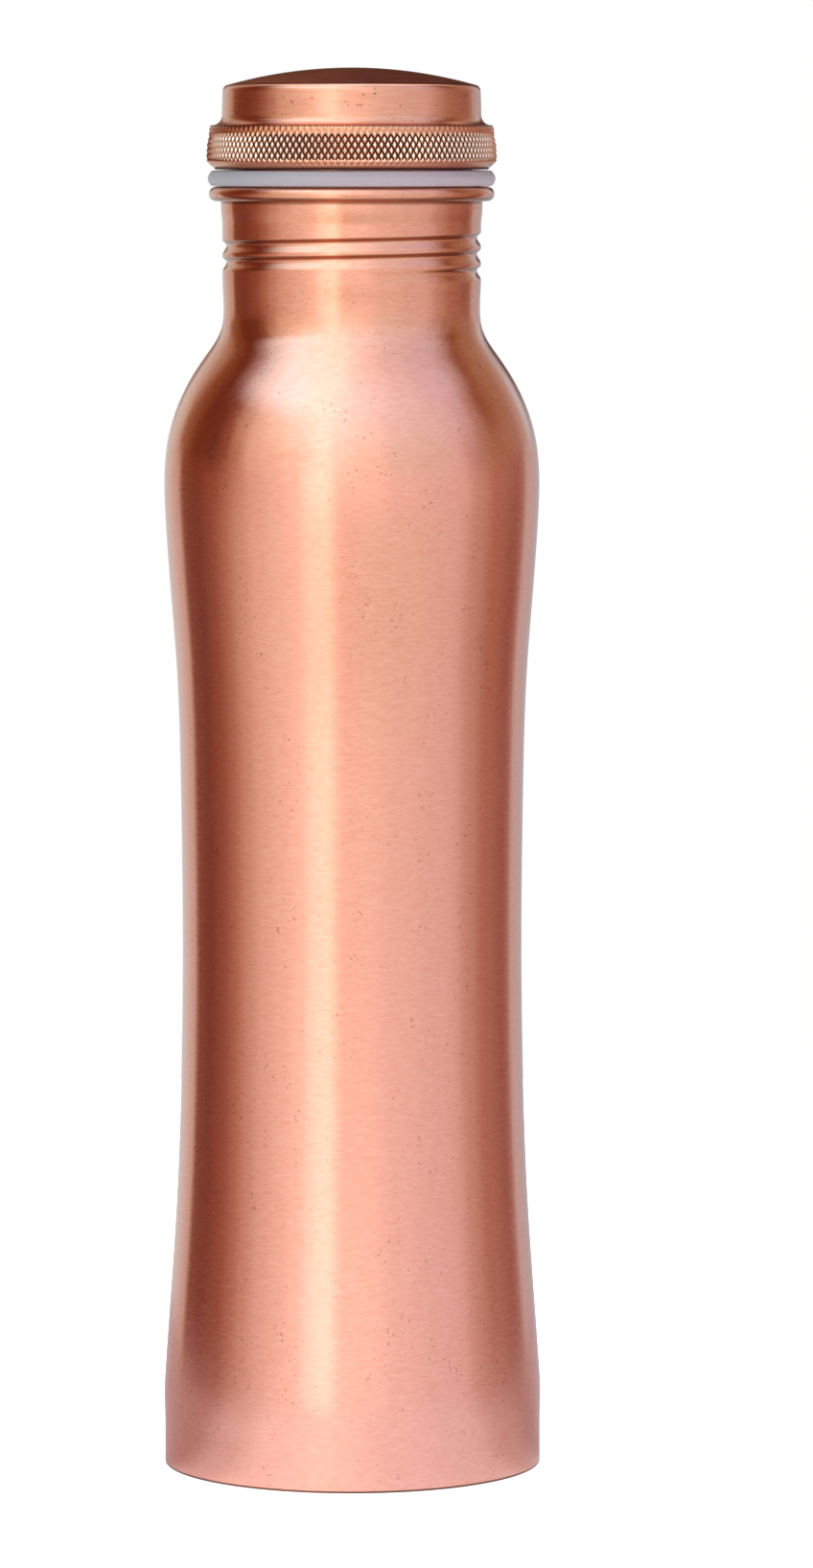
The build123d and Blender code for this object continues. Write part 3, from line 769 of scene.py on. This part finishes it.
low_sky = by_azimuth([
    (-180, tone(0.115, 0.042, 0.024)), (-174, tone(0.20, 0.088, 0.055)), (-167, tone(0.33, 0.18, 0.13)), (-156, tone(0.67, 0.79, 0.80)),
    (-144, tone(0.65, 0.70, 0.63)), (-132, tone(0.33, 0.18, 0.11)), (-114, tone(0.18, 0.060, 0.025)),
    (-98, tone(0.16, 0.062, 0.042)), (-88, tone(0.27, 0.12, 0.074)), (-78, tone(0.49, 0.35, 0.26)),
    (-66, tone(0.85, 0.82, 0.72)), (-50, tone(1.00, 1.04, 0.95)), (-38, tone(1.15, 1.23, 1.19)),
    (-18, tone(1.70, 1.82, 1.88)), (-6, tone(1.38, 1.46, 1.50)), (8, tone(1.18, 1.24, 1.24)),
    (30, tone(0.90, 1.03, 1.08)), (54, tone(0.81, 0.92, 0.96)), (68, tone(0.81, 0.83, 0.95)),
    (80, tone(0.61, 0.54, 0.60)), (92, tone(0.46, 0.36, 0.30)), (104, tone(0.41, 0.29, 0.21)),
    (128, tone(0.42, 0.32, 0.28)), (140, tone(0.51, 0.48, 0.47)), (152, tone(0.63, 0.77, 0.86)),
    (167, tone(0.11, 0.045, 0.032)), (180, tone(0.105, 0.038, 0.024)),
])
mid_sky = by_azimuth([
    (-180, tone(0.14, 0.055, 0.038)), (-172, tone(0.22, 0.10, 0.065)), (-165, tone(0.33, 0.20, 0.14)), (-150, tone(0.57, 0.56, 0.53)),
    (-138, tone(0.47, 0.38, 0.30)), (-126, tone(0.25, 0.11, 0.051)), (-110, tone(0.16, 0.048, 0.030)),
    (-98, tone(0.18, 0.061, 0.036)), (-89, tone(0.28, 0.13, 0.092)), (-78, tone(0.62, 0.53, 0.45)),
    (-66, tone(0.90, 0.92, 0.85)), (-54, tone(1.10, 1.23, 1.21)), (-40, tone(1.45, 1.56, 1.61)),
    (-18, tone(1.82, 1.97, 2.13)), (-6, tone(1.55, 1.65, 1.84)), (8, tone(1.25, 1.44, 1.59)),
    (30, tone(0.95, 1.13, 1.29)), (54, tone(0.87, 1.01, 1.17)), (70, tone(0.79, 0.89, 1.10)),
    (84, tone(0.67, 0.69, 0.87)), (94, tone(0.47, 0.38, 0.36)), (104, tone(0.30, 0.16, 0.091)),
    (126, tone(0.40, 0.29, 0.20)), (150, tone(0.46, 0.39, 0.35)), (165, tone(0.14, 0.06, 0.045)),
    (180, tone(0.12, 0.045, 0.035)),
])
high_sky = by_azimuth([
    (-180, tone(1.90, 1.90, 1.95)), (-158, tone(1.49, 1.29, 1.23)), (-138, tone(0.22, 0.082, 0.052)),
    (-112, tone(0.17, 0.047, 0.022)), (-102, tone(0.44, 0.38, 0.44)), (-90, tone(0.81, 1.10, 1.34)),
    (-78, tone(1.09, 1.51, 1.82)), (-64, tone(1.40, 1.82, 2.31)), (-48, tone(1.75, 2.07, 2.54)),
    (-26, tone(1.88, 2.06, 2.33)), (-10, tone(1.68, 1.82, 2.07)), (6, tone(1.40, 1.53, 1.89)),
    (24, tone(1.05, 1.29, 1.58)), (46, tone(0.93, 1.09, 1.34)), (68, tone(0.83, 0.92, 1.23)),
    (88, tone(0.74, 0.87, 1.20)), (102, tone(0.59, 0.61, 0.75)), (114, tone(0.30, 0.13, 0.072)),
    (136, tone(0.31, 0.19, 0.13)), (158, tone(1.53, 1.40, 1.32)), (180, tone(1.90, 1.90, 1.95)),
])
overhead = by_azimuth([
    (-180, tone(1.95, 1.95, 1.98)), (-120, tone(1.39, 1.56, 1.75)), (-92, tone(1.15, 1.68, 2.19)),
    (-70, tone(1.68, 2.02, 2.44)), (-20, tone(1.80, 1.93, 2.14)), (4, tone(1.42, 1.55, 1.77)),
    (24, tone(1.10, 1.29, 1.49)), (50, tone(0.92, 1.06, 1.25)), (80, tone(0.79, 0.90, 1.19)),
    (110, tone(0.91, 1.01, 1.20)), (180, tone(1.95, 1.95, 1.98)),
])


def rise(lo, hi):
    return add(wt, "ShaderNodeMapRange", {"Value": el, "From Min": math.radians(lo), "From Max": math.radians(hi)}).outputs[0]


studio = blend_colour(wt, rise(-13, -2), below_ring, level_ring)
studio = blend_colour(wt, rise(0.5, 6), studio, low_sky)
studio = blend_colour(wt, rise(12, 25), studio, mid_sky)
studio = blend_colour(wt, rise(32, 43), studio, high_sky)
studio = blend_colour(wt, rise(48, 62), studio, overhead)
lit = add(wt, "ShaderNodeBackground", {"Color": studio, "Strength": 3.0})
seen = add(wt, "ShaderNodeBackground", {"Color": rgb(1, 1, 1), "Strength": 1.0})
path = wt.nodes.new("ShaderNodeLightPath")
mixer = wt.nodes.new("ShaderNodeMixShader")
wt.links.new(path.outputs["Is Camera Ray"], mixer.inputs[0])
wt.links.new(lit.outputs[0], mixer.inputs[1])
wt.links.new(seen.outputs[0], mixer.inputs[2])
wt.links.new(mixer.outputs[0], w_out.inputs[0])


# ---------------------------------------------------------------------------
# camera
# ---------------------------------------------------------------------------
cam_data = bpy.data.cameras.new("camera")
cam = bpy.data.objects.new("camera", cam_data)
bpy.context.scene.collection.objects.link(cam)
cam.location = (0.0, -1.451, 0.2631)
cam.rotation_mode = "XYZ"
cam.rotation_euler = (math.radians(90 - 5.02), 0.0, -math.radians(0.4265))
cam_data.sensor_width = 36.0
cam_data.lens = 7657 / 1636 * 36.0
cam_data.clip_start, cam_data.clip_end = 0.05, 50.0
cam_data.dof.use_dof = False
bpy.context.scene.camera = cam
bpy.context.scene.view_settings.view_transform = "Standard"
bpy.context.scene.view_settings.look = "None"
